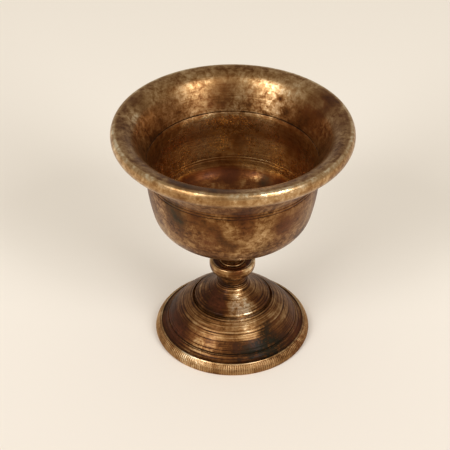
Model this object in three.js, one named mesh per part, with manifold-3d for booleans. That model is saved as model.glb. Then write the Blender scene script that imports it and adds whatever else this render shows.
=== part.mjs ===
// A small footed ritual cup of cast and turned brass.
// Millimetres, +Z up, with the origin in the middle of the ring that the foot stands on.
//
// Three castings stand on one axis: a hollow bell foot, a knop collar on its crown, and a bowl with
// a short neck and a flared, beaded lip. A thin ring packs the joint between neck and collar. A tie
// stud, screwed up into the neck, passes down through ring, collar and crown, and a washer and a nut
// inside the hollow foot draw the whole stack tight. Nothing on the cup moves.

import * as THREE from "three";
import { mergeVertices } from "three/addons/utils/BufferGeometryUtils.js";
import Module from "manifold-3d";

// Foot: the milled base band, whose face leans inwards.
const FOOT_RADIUS = 33.9;
const FOOT_HEIGHT = 31;
const FOOT_WALL = 2.3;
const STANDING_RING = 2.2;
const BAND_WIDTH = 2.3;
const BAND_HEIGHT = 4.8;
const BAND_EDGE = 0.4;
const BAND_BROW = 0.6;
const RIDGE_PITCH = 1;
const RIDGE_HEIGHT = 0.25;

// Foot: the hollow moulding above the band, the swelling and the groove that ends it.
const HOLLOW_WIDTH = 2.9;
const HOLLOW_HEIGHT = 2.2;
const HOLLOW_LEAN = 0.7;
const LEDGE = 0.5;
const SWELL_HEIGHT = 10.1;
const SWELL_FULLNESS = 0.8;
const GROOVE_WIDTH = 1.2;
const GROOVE_DEPTH = 1.1;
const GROOVE_FLOOR = 0.4;

// Foot: the inner dome, which sweeps up to the stem and the crown.
const DOME_RADIUS = 16.3;
const DOME_RISE = 1.3;
const DOME_EDGE = 0.5;
const DOME_SLOPE = 28;
const STEM_RADIUS = 6.3;
const STEM_LENGTH = 4.4;
const STEM_RING = 0.3;
const CROWN_THICKNESS = 11;

// Knop collar.
const COLLAR_RADIUS = 9.9;
const COLLAR_BASE_RADIUS = 6.6;
const COLLAR_BELLY = 4.5;
const COLLAR_FULLNESS = 1.5;
const COLLAR_BEAD = 0.9;
const COLLAR_BEAD_END = 150;
const COLLAR_BEAD_RISE = 0.9;
const COLLAR_SEAT = 6.1;
const COLLAR_DISH = 1;

// Packing ring between the collar and the neck of the bowl.
const RING_RADIUS = 5.7;
const RING_THICKNESS = 0.8;

// Bowl: the neck and the rounded body. The heights stack up from the neck's seat.
const NECK_RADIUS = 4.9;
const NECK_LENGTH = 11.6;
const NECK_COLUMN = 3;
const NECK_SPREAD = 13;
const BELLY_CURVE = 50;
const KNUCKLE_CURVE = 13.4;
const KNUCKLE_LEAN = 76;
const BODY_DEPTH = 37.2;
const FLOOR_THICKNESS = 2.4;
const WALL = 2;
const WALL_TAPER = 2.5;

// Bowl: the waist, the flare above it and the lip.
const WAIST_RADIUS = 36;
const WAIST_BEND = 0.6;
const INNER_BEND = 7;
const FLARE_HEIGHT = 18.9;
const LIP_RADIUS = 50;
const LIP_BEAD = 4.6;
const LIP_CREST = 30;
const LIP_EDGE = 0.8;
const LIP_MOUTH = 42.7;
const LIP_TURN = 5;
const LIP_UNDERCUT = 30;
const LIP_COVE = 0.9;

// Bowl: lines cut with a pointed tool, two close together outside and one inside.
const LINE_WIDTH = 0.8;
const LINE_DEPTH = 0.3;
const OUTER_LINE_DROP = 1.1;
const OUTER_LINE_SPACING = 1.3;
const INNER_LINE_RISE = 3.2;

// Tie stud, washer and nut.
const STUD_RADIUS = 2.4;
const STUD_CLEARANCE = 0.3;
const STUD_GRIP = 9;
const STUD_TAIL = 1.5;
const STUD_CHAMFER = 0.5;
const STUD_END_GAP = 0.5;
const WASHER_RADIUS = 6;
const WASHER_THICKNESS = 1.2;
const NUT_FLATS = 8.6;
const NUT_THICKNESS = 4;
const NUT_CHAMFER = 0.6;

// Facets round the axis, on the large and on the small pieces.
const LARGE_STEPS = 52;
const SMALL_STEPS = 32;

// Facets along a profile: on a small edge, a curve, a long sweep, the lip's bead and the foot's inside.
const EDGE_STEPS = 1;
const CURVE_STEPS = 4;
const SWEEP_STEPS = 5;
const LIP_STEPS = 10;
const INSIDE_STEPS = 7;

const BORE_RADIUS = STUD_RADIUS + STUD_CLEARANCE;
const COLLAR_BASE_HEIGHT = FOOT_HEIGHT;
const RING_BASE_HEIGHT = COLLAR_BASE_HEIGHT + COLLAR_SEAT;
const BOWL_BASE_HEIGHT = RING_BASE_HEIGHT + RING_THICKNESS;
const CROWN_SEAT_HEIGHT = FOOT_HEIGHT - CROWN_THICKNESS;
const WASHER_BASE_HEIGHT = CROWN_SEAT_HEIGHT - WASHER_THICKNESS;
const NUT_BASE_HEIGHT = WASHER_BASE_HEIGHT - NUT_THICKNESS;
const STUD_BASE_HEIGHT = NUT_BASE_HEIGHT - STUD_TAIL;
const STUD_LENGTH = BOWL_BASE_HEIGHT + STUD_GRIP - STUD_BASE_HEIGHT;
const WAIST_HEIGHT = NECK_LENGTH + BODY_DEPTH;
const BOWL_HEIGHT = WAIST_HEIGHT + FLARE_HEIGHT;

const wasm = await Module();
wasm.setup();

// Profiles are lists of points: x is the distance from the axis, y the height.
const at = (radius, height) => new THREE.Vector2(radius, height);
const radians = THREE.MathUtils.degToRad;
const degrees = THREE.MathUtils.radToDeg;

// The unit step in a direction, given in degrees above straight out from the axis.
function heading(angle) {
  return at(Math.cos(radians(angle)), Math.sin(radians(angle)));
}

// The point reached from a start by going a distance in a direction.
function step(start, angle, distance) {
  return start.clone().addScaledVector(heading(angle), distance);
}

// Points along an arc, both ends included.
function arc(centre, radius, from, to, steps) {
  const points = [];
  for (let i = 0; i <= steps; i += 1) {
    points.push(step(centre, from + ((to - from) * i) / steps, radius));
  }
  return points;
}

// Where a line from one point crosses a line from another.
function crossing(start, startAngle, end, endAngle) {
  const along = heading(startAngle);
  const across = heading(endAngle);
  const distance = end.clone().sub(start).cross(across) / along.cross(across);
  return start.clone().addScaledVector(along, distance);
}

// A smooth bend that leaves the start towards the corner and arrives from the corner.
function bend(start, corner, end, steps) {
  return new THREE.QuadraticBezierCurve(start, corner, end).getPoints(steps);
}

// A rounded corner between two straight runs, which starts and ends a distance from the corner.
function rounded(before, corner, after, distance, steps) {
  const start = corner.clone().add(before.clone().sub(corner).setLength(distance));
  const end = corner.clone().add(after.clone().sub(corner).setLength(distance));
  return bend(start, corner, end, steps);
}

// A V-shaped line cut into a straight run of a profile, with the metal on its left.
function cutLine(point, angle) {
  return [
    step(point, angle, -LINE_WIDTH / 2),
    step(point, angle + 90, LINE_DEPTH),
    step(point, angle, LINE_WIDTH / 2),
  ];
}

// A solid turned about the axis from a profile that closes, or that starts and ends on the axis.
function turned(profile, steps) {
  const geometry = new THREE.LatheGeometry(profile, steps);
  geometry.rotateX(Math.PI / 2);
  return geometry;
}

function closed(points) {
  return [...points, points[0].clone()];
}

// A closed mesh as a solid that can be joined and cut.
function solid(geometry) {
  const bare = geometry.index ? geometry.toNonIndexed() : geometry.clone();
  bare.deleteAttribute("normal");
  bare.deleteAttribute("uv");
  const merged = mergeVertices(bare, 1e-4);
  const mesh = new wasm.Mesh({
    numProp: 3,
    vertProperties: merged.attributes.position.array,
    triVerts: new Uint32Array(merged.index.array),
  });
  return new wasm.Manifold(mesh);
}

function geometryOf(made) {
  const mesh = made.getMesh();
  const geometry = new THREE.BufferGeometry();
  geometry.setAttribute("position", new THREE.BufferAttribute(mesh.vertProperties, 3));
  geometry.setIndex(new THREE.BufferAttribute(mesh.triVerts, 1));
  geometry.computeVertexNormals();
  return geometry;
}

// One loop of points round the axis. A ridged loop goes in and out once for each ridge, square to
// the surface, whose lean is in degrees above straight out.
function loopAt(point, ridges = 0, lean = 0) {
  const count = ridges ? 2 * ridges : LARGE_STEPS;
  const points = [];
  for (let i = 0; i < count; i += 1) {
    const place = step(point, lean, ridges && i % 2 ? RIDGE_HEIGHT : 0);
    const angle = (2 * Math.PI * i) / count;
    points.push(new THREE.Vector3(place.x * Math.cos(angle), place.x * Math.sin(angle), place.y));
  }
  return points;
}

// Triangles between two loops of any two counts, taken in step round the axis.
function stitched(lower, upper) {
  const corners = [];
  let low = 0;
  let high = 0;
  while (low < lower.length || high < upper.length) {
    const a = lower[low % lower.length];
    const b = upper[high % upper.length];
    const lowNext = (low + 1) / lower.length;
    const highNext = (high + 1) / upper.length;
    if (lowNext <= highNext) {
      low += 1;
      corners.push(a, lower[low % lower.length], b);
    } else {
      high += 1;
      corners.push(a, upper[high % upper.length], b);
    }
  }
  return corners;
}

// A closed skin through a ring of loops, the last joined to the first.
function skin(loops) {
  const corners = loops.flatMap((loop, i) => stitched(loop, loops[(i + 1) % loops.length]));
  const geometry = new THREE.BufferGeometry().setFromPoints(corners);
  geometry.computeVertexNormals();
  return geometry;
}

// The corners that the foot's mouldings run between, and that its inside follows.
function footCorners() {
  const bandTop = at(FOOT_RADIUS - RIDGE_HEIGHT - BAND_WIDTH, BAND_HEIGHT);
  const hollowEnd = at(bandTop.x - HOLLOW_WIDTH, bandTop.y + HOLLOW_HEIGHT);
  const swellStart = at(hollowEnd.x - LEDGE, hollowEnd.y + LEDGE);
  const swellEnd = at(DOME_RADIUS + GROOVE_WIDTH, swellStart.y + SWELL_HEIGHT);
  const grooveFloor = at(DOME_RADIUS + GROOVE_FLOOR, swellEnd.y - GROOVE_DEPTH);
  const domeShoulder = at(DOME_RADIUS, swellEnd.y + DOME_RISE);
  const stemFoot = at(STEM_RADIUS + STEM_RING, FOOT_HEIGHT - STEM_LENGTH);
  return { bandTop, hollowEnd, swellStart, swellEnd, grooveFloor, domeShoulder, stemFoot };
}

// The band between the standing ring and the mouldings, with ridges square to its leaning face.
function footBand({ bandTop }) {
  const ridges = Math.round((2 * Math.PI * FOOT_RADIUS) / RIDGE_PITCH);
  const heel = at(bandTop.x + BAND_WIDTH, BAND_EDGE);
  const ridgeStart = at(heel.x, 2 * BAND_EDGE);
  const brow = at(bandTop.x + BAND_BROW, bandTop.y - BAND_BROW);
  const lean = degrees(brow.clone().sub(ridgeStart).angle()) - 90;
  return [
    loopAt(at(heel.x - BAND_EDGE, 0)),
    loopAt(heel),
    loopAt(ridgeStart, ridges, lean),
    loopAt(brow, ridges, lean),
    loopAt(bandTop),
  ];
}

// The mouldings, from the top of the band inwards and up to the crown.
function footMouldings({ bandTop, hollowEnd, swellStart, swellEnd, grooveFloor, domeShoulder, stemFoot }) {
  const hollowStart = at(bandTop.x - LEDGE / 2, bandTop.y - LEDGE / 2);
  const hollowCorner = at(hollowEnd.x + HOLLOW_LEAN, hollowStart.y);
  const across = degrees(swellEnd.clone().sub(swellStart).angle()) - 90;
  const swellCorner = step(swellStart.clone().lerp(swellEnd, 0.5), across, 2 * SWELL_FULLNESS);
  const domeFoot = at(DOME_RADIUS, swellEnd.y);
  const domeCorner = crossing(domeShoulder, 180 - DOME_SLOPE, stemFoot, 90);
  const domeEdge = rounded(domeFoot, domeShoulder, domeCorner, DOME_EDGE, EDGE_STEPS);
  return [
    at(bandTop.x, hollowStart.y),
    ...bend(hollowStart, hollowCorner, hollowEnd, CURVE_STEPS),
    at(swellStart.x, hollowEnd.y),
    ...bend(swellStart, swellCorner, swellEnd, SWEEP_STEPS),
    grooveFloor,
    domeFoot,
    ...domeEdge,
    ...bend(domeEdge.at(-1), domeCorner, stemFoot, SWEEP_STEPS).slice(1),
    at(stemFoot.x, stemFoot.y + STEM_RING),
    at(STEM_RADIUS, stemFoot.y + 2 * STEM_RING),
    at(STEM_RADIUS, FOOT_HEIGHT),
    at(BORE_RADIUS, FOOT_HEIGHT),
  ].map((point) => loopAt(point));
}

// The inside of the bell, from the nut's seat outwards and down to the standing ring.
function footInside({ bandTop, hollowEnd, grooveFloor }) {
  const path = new THREE.SplineCurve([
    at(WASHER_RADIUS + FOOT_WALL, CROWN_SEAT_HEIGHT),
    at(grooveFloor.x - FOOT_WALL / 2, grooveFloor.y - FOOT_WALL),
    at(hollowEnd.x - FOOT_WALL, hollowEnd.y - FOOT_WALL / 2),
    at(bandTop.x + BAND_WIDTH - STANDING_RING, 0),
  ]);
  return [at(BORE_RADIUS, CROWN_SEAT_HEIGHT), ...path.getPoints(INSIDE_STEPS)].map((point) => loopAt(point));
}

// The foot: a hollow bell, thick at the crown, where the stud passes through.
function foot() {
  const corners = footCorners();
  return skin([...footBand(corners), ...footMouldings(corners), ...footInside(corners)]);
}

// The collar: a rounded knop whose top is dished round a flat seat for the packing ring.
function collar() {
  const bead = at(COLLAR_RADIUS - COLLAR_BEAD, COLLAR_SEAT + COLLAR_BEAD_RISE - COLLAR_BEAD);
  const dishStart = step(bead, 180, COLLAR_BEAD);
  const dishEnd = at(RING_RADIUS + STUD_CLEARANCE, COLLAR_SEAT);
  const dishFloor = at((dishStart.x + dishEnd.x) / 2, COLLAR_SEAT - COLLAR_DISH);
  const widest = at(COLLAR_RADIUS, COLLAR_BELLY);
  return turned(
    closed([
      at(BORE_RADIUS, 0),
      ...bend(at(COLLAR_BASE_RADIUS, 0), at(COLLAR_RADIUS, COLLAR_FULLNESS), widest, CURVE_STEPS),
      ...arc(bead, COLLAR_BEAD, 0, COLLAR_BEAD_END, CURVE_STEPS),
      ...bend(dishStart, dishFloor, dishEnd, CURVE_STEPS),
      at(BORE_RADIUS, COLLAR_SEAT),
    ]),
    SMALL_STEPS,
  );
}

// The packing ring: a flat washer with a rounded rim, seen as a thin bright line under the neck.
function packingRing() {
  const rim = RING_THICKNESS / 2;
  return turned(
    closed([
      at(BORE_RADIUS, 0),
      ...arc(at(RING_RADIUS - rim, rim), rim, -90, 90, CURVE_STEPS),
      at(BORE_RADIUS, RING_THICKNESS),
    ]),
    SMALL_STEPS,
  );
}

// The neck: a blind hole for the stud, a short column, and a sweep out into the belly.
function bowlNeck() {
  const holeTop = STUD_GRIP + STUD_END_GAP;
  const spread = degrees(Math.asin(NECK_SPREAD / BELLY_CURVE));
  const columnTop = at(NECK_RADIUS, NECK_COLUMN);
  const sweepEnd = step(at(0, NECK_LENGTH + BELLY_CURVE), spread - 90, BELLY_CURVE);
  return [
    at(0, holeTop),
    at(BORE_RADIUS, holeTop),
    at(BORE_RADIUS, 0),
    at(NECK_RADIUS, 0),
    ...bend(columnTop, crossing(sweepEnd, spread, columnTop, 90), sweepEnd, CURVE_STEPS).slice(0, -1),
  ];
}

// One face of the body: the belly from a given radius, the knuckle and the wall, up to its end.
// The inner face has the same centres, set in by the thickness of the floor.
function bowlBody(startRadius, floor, wallEnd) {
  const reach = BELLY_CURVE - KNUCKLE_CURVE;
  const knuckleRadius = WAIST_RADIUS - WALL_TAPER - KNUCKLE_CURVE * Math.sin(radians(KNUCKLE_LEAN));
  const turn = degrees(Math.asin(knuckleRadius / reach));
  const start = degrees(Math.asin(startRadius / (BELLY_CURVE - floor)));
  const bellyCentre = at(0, NECK_LENGTH + BELLY_CURVE);
  const knuckleCentre = step(bellyCentre, turn - 90, reach);
  const knuckle = KNUCKLE_CURVE - floor;
  const wallFoot = step(knuckleCentre, KNUCKLE_LEAN - 90, knuckle);
  return [
    ...arc(bellyCentre, BELLY_CURVE - floor, start - 90, turn - 90, CURVE_STEPS).slice(0, -1),
    ...arc(knuckleCentre, knuckle, turn - 90, KNUCKLE_LEAN - 90, CURVE_STEPS).slice(0, -1),
    ...bend(wallFoot, crossing(wallFoot, KNUCKLE_LEAN, wallEnd, 90), wallEnd, CURVE_STEPS),
  ];
}

// Outside of the waist: two cut lines on the upright wall, then the bend out into the flare.
function waistOutside(slope) {
  const waist = at(WAIST_RADIUS, WAIST_HEIGHT);
  const upperLine = at(WAIST_RADIUS, WAIST_HEIGHT - OUTER_LINE_DROP);
  return [
    ...cutLine(step(upperLine, -90, OUTER_LINE_SPACING), 90),
    ...cutLine(upperLine, 90),
    ...rounded(upperLine, waist, step(waist, slope, 1), WAIST_BEND, EDGE_STEPS),
  ];
}

// The lip: a small cove under it, a full outside up to the rounded edge of the crest, and a top that
// turns down into the flare. The mouth is the corner that this turn rounds off.
function lip(slope, mouth) {
  const rise = LIP_BEAD * Math.sin(radians(LIP_CREST)) + LIP_EDGE * Math.cos(radians(LIP_CREST));
  const bead = at(LIP_RADIUS - LIP_BEAD, BOWL_HEIGHT - rise);
  const under = step(bead, -90 - LIP_UNDERCUT, LIP_BEAD);
  const cove = crossing(at(WAIST_RADIUS, WAIST_HEIGHT), slope, under, 180);
  const edge = step(bead, LIP_CREST, LIP_BEAD);
  const crest = step(edge, LIP_CREST + 90, LIP_EDGE);
  const topStart = step(crest, 180, LIP_EDGE);
  return [
    ...rounded(step(cove, slope, -1), cove, under, LIP_COVE, EDGE_STEPS),
    ...arc(bead, LIP_BEAD, -90 - LIP_UNDERCUT, LIP_CREST, LIP_STEPS),
    ...bend(edge, crest, topStart, EDGE_STEPS + 1).slice(1, -1),
    ...bend(topStart, mouth, step(mouth, slope, -LIP_TURN), SWEEP_STEPS),
  ];
}

// The inside of the waist: the cut line, and below it a long bend into the upright wall.
function waistInside(slope, innerWaist, wallEnd) {
  const line = crossing(innerWaist, slope, at(0, WAIST_HEIGHT + INNER_LINE_RISE), 0);
  const down = slope + 180;
  return [
    ...cutLine(line, down),
    ...bend(step(line, down, LINE_WIDTH), innerWaist, wallEnd, CURVE_STEPS).slice(0, -1),
  ];
}

// The bowl. Its flare keeps one direction from the waist to the lip, inside and out.
function bowl() {
  const innerWaist = at(WAIST_RADIUS - WALL, WAIST_HEIGHT);
  const mouth = at(LIP_MOUTH, BOWL_HEIGHT);
  const slope = degrees(mouth.clone().sub(innerWaist).angle());
  const outerEnd = at(WAIST_RADIUS, WAIST_HEIGHT - OUTER_LINE_DROP - OUTER_LINE_SPACING - LINE_WIDTH);
  const innerEnd = at(innerWaist.x, WAIST_HEIGHT - INNER_BEND);
  return turned(
    [
      ...bowlNeck(),
      ...bowlBody(NECK_SPREAD, 0, outerEnd),
      ...waistOutside(slope),
      ...lip(slope, mouth),
      ...waistInside(slope, innerWaist, innerEnd),
      ...bowlBody(0, FLOOR_THICKNESS, innerEnd).reverse(),
    ],
    LARGE_STEPS,
  );
}

// The tie stud: a plain rod here, with its ends chamfered.
function tieStud() {
  return turned(
    [
      at(0, 0),
      at(STUD_RADIUS - STUD_CHAMFER, 0),
      at(STUD_RADIUS, STUD_CHAMFER),
      at(STUD_RADIUS, STUD_LENGTH - STUD_CHAMFER),
      at(STUD_RADIUS - STUD_CHAMFER, STUD_LENGTH),
      at(0, STUD_LENGTH),
    ],
    SMALL_STEPS,
  );
}

function washer() {
  return turned(
    closed([
      at(BORE_RADIUS, 0),
      at(WASHER_RADIUS, 0),
      at(WASHER_RADIUS, WASHER_THICKNESS),
      at(BORE_RADIUS, WASHER_THICKNESS),
    ]),
    SMALL_STEPS,
  );
}

// The nut: a hexagon, turned to a cone at both ends and bored for the stud.
function nut() {
  const cornerRadius = NUT_FLATS / Math.sqrt(3);
  const outline = new THREE.Shape();
  for (let i = 0; i < 6; i += 1) {
    const corner = step(at(0, 0), 60 * i, cornerRadius);
    outline[i ? "lineTo" : "moveTo"](corner.x, corner.y);
  }
  const bore = new THREE.Path();
  bore.absarc(0, 0, BORE_RADIUS, 0, 2 * Math.PI, true);
  outline.holes.push(bore);
  const blank = new THREE.ExtrudeGeometry(outline, {
    depth: NUT_THICKNESS,
    bevelEnabled: false,
    curveSegments: SMALL_STEPS / 2,
  });
  const face = cornerRadius - NUT_CHAMFER;
  const chamfered = turned(
    [
      at(0, 0),
      at(face, 0),
      at(cornerRadius, NUT_CHAMFER),
      at(cornerRadius, NUT_THICKNESS - NUT_CHAMFER),
      at(face, NUT_THICKNESS),
      at(0, NUT_THICKNESS),
    ],
    SMALL_STEPS,
  );
  return geometryOf(solid(blank).intersect(solid(chamfered)));
}

// Aged brass. Handled faces are rubbed golden, sheltered ones are browner and duller.
function agedBrass(colour, roughness) {
  return new THREE.MeshStandardMaterial({ color: colour, metalness: 1, roughness });
}

const cup = new THREE.Group();

function place(name, geometry, height, material) {
  const mesh = new THREE.Mesh(geometry, material);
  mesh.name = name;
  mesh.position.z = height;
  cup.add(mesh);
}

place("foot", foot(), 0, agedBrass(0x87613a, 0.42));
place("knop_collar", collar(), COLLAR_BASE_HEIGHT, agedBrass(0xa57f4c, 0.32));
place("packing_ring", packingRing(), RING_BASE_HEIGHT, agedBrass(0x8f6d3f, 0.4));
place("bowl", bowl(), BOWL_BASE_HEIGHT, agedBrass(0x8e6a3d, 0.4));
place("tie_stud", tieStud(), STUD_BASE_HEIGHT, agedBrass(0x8a7040, 0.5));
place("washer", washer(), WASHER_BASE_HEIGHT, agedBrass(0x8c7144, 0.5));
place("nut", nut(), NUT_BASE_HEIGHT, agedBrass(0x927546, 0.45));

export default cup;
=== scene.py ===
"""A small footed ritual cup of cast and turned brass, aged brown and rubbed golden by hands.

Laid out as an add-on with an operator for each piece or pair, and run as a script. It dresses the
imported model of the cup, which it loads as a fixed frame. Metres and +Z up, with the origin in the
middle of the ring that the foot stands on. Profiles are lists of 2-D points: x from the axis, y the
height.
"""

import math

import bpy
from bpy.props import FloatProperty, FloatVectorProperty, IntProperty, PointerProperty
from bpy.types import Operator, Panel, PropertyGroup
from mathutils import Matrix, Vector


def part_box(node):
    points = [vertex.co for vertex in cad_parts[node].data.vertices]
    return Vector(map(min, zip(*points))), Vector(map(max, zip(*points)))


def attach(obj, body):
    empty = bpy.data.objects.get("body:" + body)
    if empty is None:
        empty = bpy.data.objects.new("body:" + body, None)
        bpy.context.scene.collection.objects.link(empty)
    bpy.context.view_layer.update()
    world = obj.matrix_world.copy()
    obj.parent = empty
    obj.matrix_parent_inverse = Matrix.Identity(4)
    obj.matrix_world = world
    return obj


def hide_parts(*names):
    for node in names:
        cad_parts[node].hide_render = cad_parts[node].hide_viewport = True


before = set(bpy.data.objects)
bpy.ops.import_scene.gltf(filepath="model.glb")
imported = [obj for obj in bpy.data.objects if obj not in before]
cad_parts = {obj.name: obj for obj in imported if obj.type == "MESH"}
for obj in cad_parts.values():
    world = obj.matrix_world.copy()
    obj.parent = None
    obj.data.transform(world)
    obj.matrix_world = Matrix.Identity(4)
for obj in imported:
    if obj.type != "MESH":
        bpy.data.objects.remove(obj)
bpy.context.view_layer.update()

bl_info = {
    "name": "Footed brass cup",
    "version": (1, 0, 0),
    "blender": (4, 5, 0),
    "location": "3D View > Sidebar > Cup",
    "description": "Turned pieces, milled ridges and aged brass for a footed cup",
    "category": "Add Mesh",
}

MM = 0.001

# The photograph's width and its camera's focal length in pixels, and the width in millimetres of
# the sensor that the camera here has.
PHOTO_WIDTH = 450
PHOTO_FOCAL = 1600
SENSOR = 36

# Points of a profile that touch are one point, and vertices that are this near are welded.
TOUCHING = 0.0001 * MM
WELD = 0.0005 * MM

# How far round a place its edge is measured, how proud it stands at an edge of 1, and how high a
# tool mark is that adds 1 to it.
EDGE_REACH = 0.63 * MM
EDGE_UNIT = 0.1 * MM
MARK_UNIT = 0.05 * MM

# Below this height the surface comes back to true, so that the cup stands flat.
TRUE_HEIGHT = 3 * MM

# Where the floor's tone changes, from near to far along Y.
FLOOR_NEAR = -150 * MM
FLOOR_FAR = 50 * MM


# Sizes and colours


def length(name, description, millimetres):
    """A size in millimetres as a length property, which Blender keeps in metres."""
    return FloatProperty(
        name=name, description=description, default=millimetres * MM, unit="LENGTH", precision=5
    )


def angle(name, description, degrees):
    """An angle in degrees as a property that Blender shows in degrees and keeps in radians."""
    return FloatProperty(
        name=name, description=description, default=math.radians(degrees), subtype="ANGLE"
    )


def linear(hex_colour):
    """An sRGB hex colour as linear red, green, blue and an alpha of 1."""
    channels = [int(hex_colour[i : i + 2], 16) / 255 for i in (0, 2, 4)]
    return [c / 12.92 if c <= 0.04045 else ((c + 0.055) / 1.055) ** 2.4 for c in channels] + [1]


def tint(name, description, hex_colour):
    """A colour property whose default is written as sRGB hex."""
    return FloatVectorProperty(
        name=name, description=description, size=4, subtype="COLOR", default=linear(hex_colour)
    )


def top_of(node):
    """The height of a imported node's highest point, in millimetres."""
    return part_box(node)[1].z / MM


def bottom_of(node):
    """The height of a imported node's lowest point, in millimetres."""
    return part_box(node)[0].z / MM


def radius_of(node):
    """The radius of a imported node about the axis, in millimetres."""
    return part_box(node)[1].x / MM


class CupFootSizes(PropertyGroup):
    """The bell foot and its milled band."""

    radius: length("Foot radius", "Over the crests of the milled ridges", radius_of("foot"))
    height: length("Foot height", "Up to the seat of the knop collar", top_of("foot"))
    wall: length("Wall", "Thickness of the bell", 2.3)
    standing_ring: length("Standing ring", "Width of the flat ring that the cup stands on", 2.2)
    band_width: length("Band width", "How far the milled band reaches out", 2.3)
    band_height: length("Band height", "Height of the milled band", 4.8)
    band_edge: length("Band edge", "Rounding of the band's lower edge", 0.4)
    band_brow: length("Band brow", "Rounding of the band's upper edge", 0.6)
    band_rim: length("Band rim", "How far the upper edge's corner stands out", 0.2)
    band_bow: length("Band bow", "How far the band's face bows out between its edges", 0.4)
    ridge_pitch: length("Ridge pitch", "Distance from one milled ridge to the next", 1)
    ridge_height: length("Ridge height", "Depth of the milling", 0.25)
    ridge_radius: length("Ridge radius", "Radius of a ridge's rounded crest", 0.4)
    hollow_width: length("Hollow width", "Width of the hollow moulding", 2.9)
    hollow_height: length("Hollow height", "Height of the hollow moulding", 2.2)
    hollow_lean: length("Hollow lean", "How far out the hollow is deepest", 0.7)
    ledge: length("Ledge", "Step at each side of the hollow moulding", 0.5)
    swell_height: length("Swelling height", "Height of the swelling", 10.1)
    swell_fullness: length("Swelling fullness", "How far the swelling stands out", 0.8)
    groove_width: length("Groove width", "Width of the groove round the dome", 1.2)
    groove_depth: length("Groove depth", "Depth of the groove round the dome", 1.1)
    groove_floor: length("Groove floor", "How far outside the dome it is deepest", 0.4)
    dome_radius: length("Dome radius", "Radius of the inner dome's rim", 16.3)
    dome_rise: length("Dome rise", "Height of the dome's upright rim", 1.3)
    dome_edge: length("Dome edge", "Rounding of the dome's rim", 0.5)
    dome_slope: angle("Dome slope", "Slope of the dome inside its rim", 28)
    stem_radius: length("Stem radius", "Radius of the short stem on the dome", 6.3)
    stem_length: length("Stem length", "Length of the stem", 4.4)
    stem_ring: length("Stem ring", "Size of the thin ring at the stem's foot", 0.3)
    crown: length("Crown thickness", "Metal between the nut's seat and the collar", 11)


class CupCollarSizes(PropertyGroup):
    """The knop collar and the packing ring that sits in its dish."""

    radius: length("Collar radius", "Radius of the knop", radius_of("knop_collar"))
    base_radius: length("Base radius", "Radius where the knop meets the foot", 6.6)
    belly: length("Belly height", "Height of the knop's widest line", 4.5)
    fullness: length("Fullness", "Height of the corner that the knop's curve heads for", 1.5)
    bead: length("Bead", "Radius of the bead round the dish", 0.9)
    bead_end: angle("Bead end", "How far the bead turns over into the dish", 150)
    bead_rise: length("Bead rise", "How far the bead stands above the ring's seat", 0.9)
    seat: length("Seat height", "Height of the ring's seat above the foot", 6.1)
    dish: length("Dish depth", "Depth of the dish round the seat", 1)
    ring_radius: length("Ring radius", "Radius of the packing ring", 5.7)
    ring_thickness: length("Ring thickness", "Thickness of the packing ring", 0.8)
    ring_gap: length("Ring gap", "Between the packing ring and the slope of the dish", 0.3)
    bore: length("Bore radius", "Radius of the hole for the tie stud", 2.7)


class CupBowlSizes(PropertyGroup):
    """The bowl with its neck, waist, flare and lip."""

    base: length("Base height", "Where the neck sits on the packing ring", bottom_of("bowl"))
    hole_gap: length("Hole gap", "From the stud's end to the end of its hole", 0.5)
    neck_radius: length("Neck radius", "Radius of the neck", 4.9)
    neck_edge: length("Neck edge", "Rounding of the neck's lower edge", 0.3)
    neck_length: length("Neck length", "From the packing ring to the pole of the belly", 11.6)
    neck_column: length("Neck column", "Straight part of the neck", 3)
    neck_spread: length("Neck spread", "Radius at which the neck has run into the belly", 13)
    belly: length("Belly curve", "Radius of the belly's curve", 50)
    knuckle: length("Knuckle curve", "Radius of the turn from belly to wall", 13.4)
    lean: angle("Knuckle lean", "Steepness of the wall where the turn ends", 76)
    depth: length("Body depth", "From the pole of the belly to the waist", 37.2)
    floor: length("Floor thickness", "Thickness of the belly", 2.4)
    wall: length("Wall", "Thickness of the wall and the flare", 2)
    taper: length("Wall taper", "How far the wall draws in towards the belly", 2.5)
    waist: length("Waist radius", "Radius of the waist under the flare", 36)
    waist_bend: length("Waist bend", "Rounding of the waist", 0.6)
    inner_bend: length("Inner bend", "How far down the wall the waist's inside bends", 7)
    flare_bow: angle("Flare bow", "How far the flare's inside leans from straight at its ends", 5)
    flare: length("Flare height", "From the waist to the crest of the lip", 18.9)
    lip: length("Lip radius", "Radius of the lip, the widest line of the cup", radius_of("bowl"))
    lip_bead: length("Lip bead", "Radius of the lip's rounded outside", 4.6)
    lip_crest: angle("Lip crest", "Where the bead ends in a crest", 30)
    lip_edge: length("Lip edge", "Rounding of the crest", 0.8)
    mouth: length("Mouth radius", "Radius of the mouth at the level of the crest", 42.7)
    lip_turn: length("Lip turn", "How far down the flare the lip's top turns in", 5)
    lip_undercut: angle("Lip undercut", "How far the bead turns in under the lip", 30)
    lip_cove: length("Lip cove", "Rounding between the bead and the flare", 0.9)
    line_width: length("Line width", "Width of a cut line", 0.8)
    line_depth: length("Line depth", "Depth of a cut line", 0.3)
    inner_line: length("Inner line width", "Width of the finer line inside", 0.5)
    outer_drop: length("Outer line drop", "Upper outer line below the waist", 1.1)
    outer_spacing: length("Outer line spacing", "Between the two outer lines", 1.3)
    inner_rise: length("Inner line rise", "Inner line above the waist", 3.2)


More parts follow.
